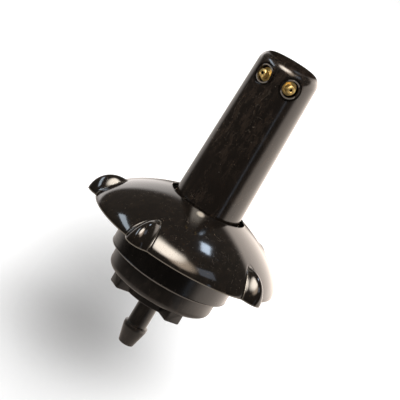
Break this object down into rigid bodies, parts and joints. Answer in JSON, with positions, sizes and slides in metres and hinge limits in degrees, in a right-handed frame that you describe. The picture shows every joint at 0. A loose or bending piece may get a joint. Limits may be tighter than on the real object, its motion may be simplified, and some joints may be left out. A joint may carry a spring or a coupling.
{
  "type": "pop up sprinkler",
  "caption": "Spring-return pop-up sprinkler: tapered riser with side nozzles in a domed screw cap, collared barrel and a screw-on base with a hose barb.",
  "frame": {"origin": "on the axis, in the plane of the dome's rim, where the deck collar starts", "axes": "+Z along the riser, out of the ground; -Y faces the two nozzles"},
  "size_m": [0.0604, 0.0588, 0.0939],
  "materials": {
    "black_gloss": "glossy moulded plastic, fine scratches and dust",
    "black_satin": "satin moulded plastic",
    "grey_plastic": "plain moulded plastic",
    "white_plastic": "natural acetal",
    "seal_rubber": "matt rubber",
    "nozzle_brass": "turned brass, dulled",
    "stainless": "drawn stainless wire and mesh"
  },
  "bodies": {
    "barrel": {"body_barrel": "black_satin", "return_spring": "stainless"},
    "spring_follower": {"slip_washer": "white_plastic"},
    "riser": {"riser": "black_gloss", "piston": "grey_plastic", "cup_seal": "seal_rubber", "riser_filter": "stainless", "nozzle_left": "nozzle_brass", "nozzle_right": "nozzle_brass", "nozzle_seal_left": "seal_rubber", "nozzle_seal_right": "seal_rubber"},
    "cap_seat": {"spring_seat": "grey_plastic"},
    "cap": {"dome_cap": "black_gloss", "wiper_seal": "seal_rubber"},
    "base_seal": {"base_gasket": "seal_rubber"},
    "base": {"inlet_base": "black_satin", "inlet_screen": "stainless"}
  },
  "joints": [
    {"name": "riser_lift", "type": "slide", "parent": "barrel", "child": "spring_follower", "axis": [0, 0, 1], "range_m": [0, 0.012], "stiffness_N_per_m": 400, "springref_m": -0.012, "deforming": ["return_spring"]},
    {"name": "riser_turn", "type": "hinge", "parent": "spring_follower", "child": "riser", "pos_m": [0, 0, 0], "axis": [0, 0, 1], "continuous": true},
    {"name": "cap_lift", "type": "slide", "parent": "barrel", "child": "cap_seat", "axis": [0, 0, 1], "range_m": [0, 0.005]},
    {"name": "cap_turn", "type": "hinge", "parent": "cap_seat", "child": "cap", "pos_m": [0, 0, 0], "axis": [0, 0, 1], "range_deg": [0, 721]},
    {"name": "base_drop", "type": "slide", "parent": "barrel", "child": "base_seal", "axis": [0, 0, -1], "range_m": [0, 0.00375]},
    {"name": "base_turn", "type": "hinge", "parent": "base_seal", "child": "base", "pos_m": [0, 0, -0.0135], "axis": [0, 0, -1], "range_deg": [0, 541]}
  ],
  "couplings": [
    {"joint": "cap_turn", "follows": "cap_lift", "rad_per_m": 2513.3},
    {"joint": "base_turn", "follows": "base_drop", "rad_per_m": 2513.3}
  ]
}
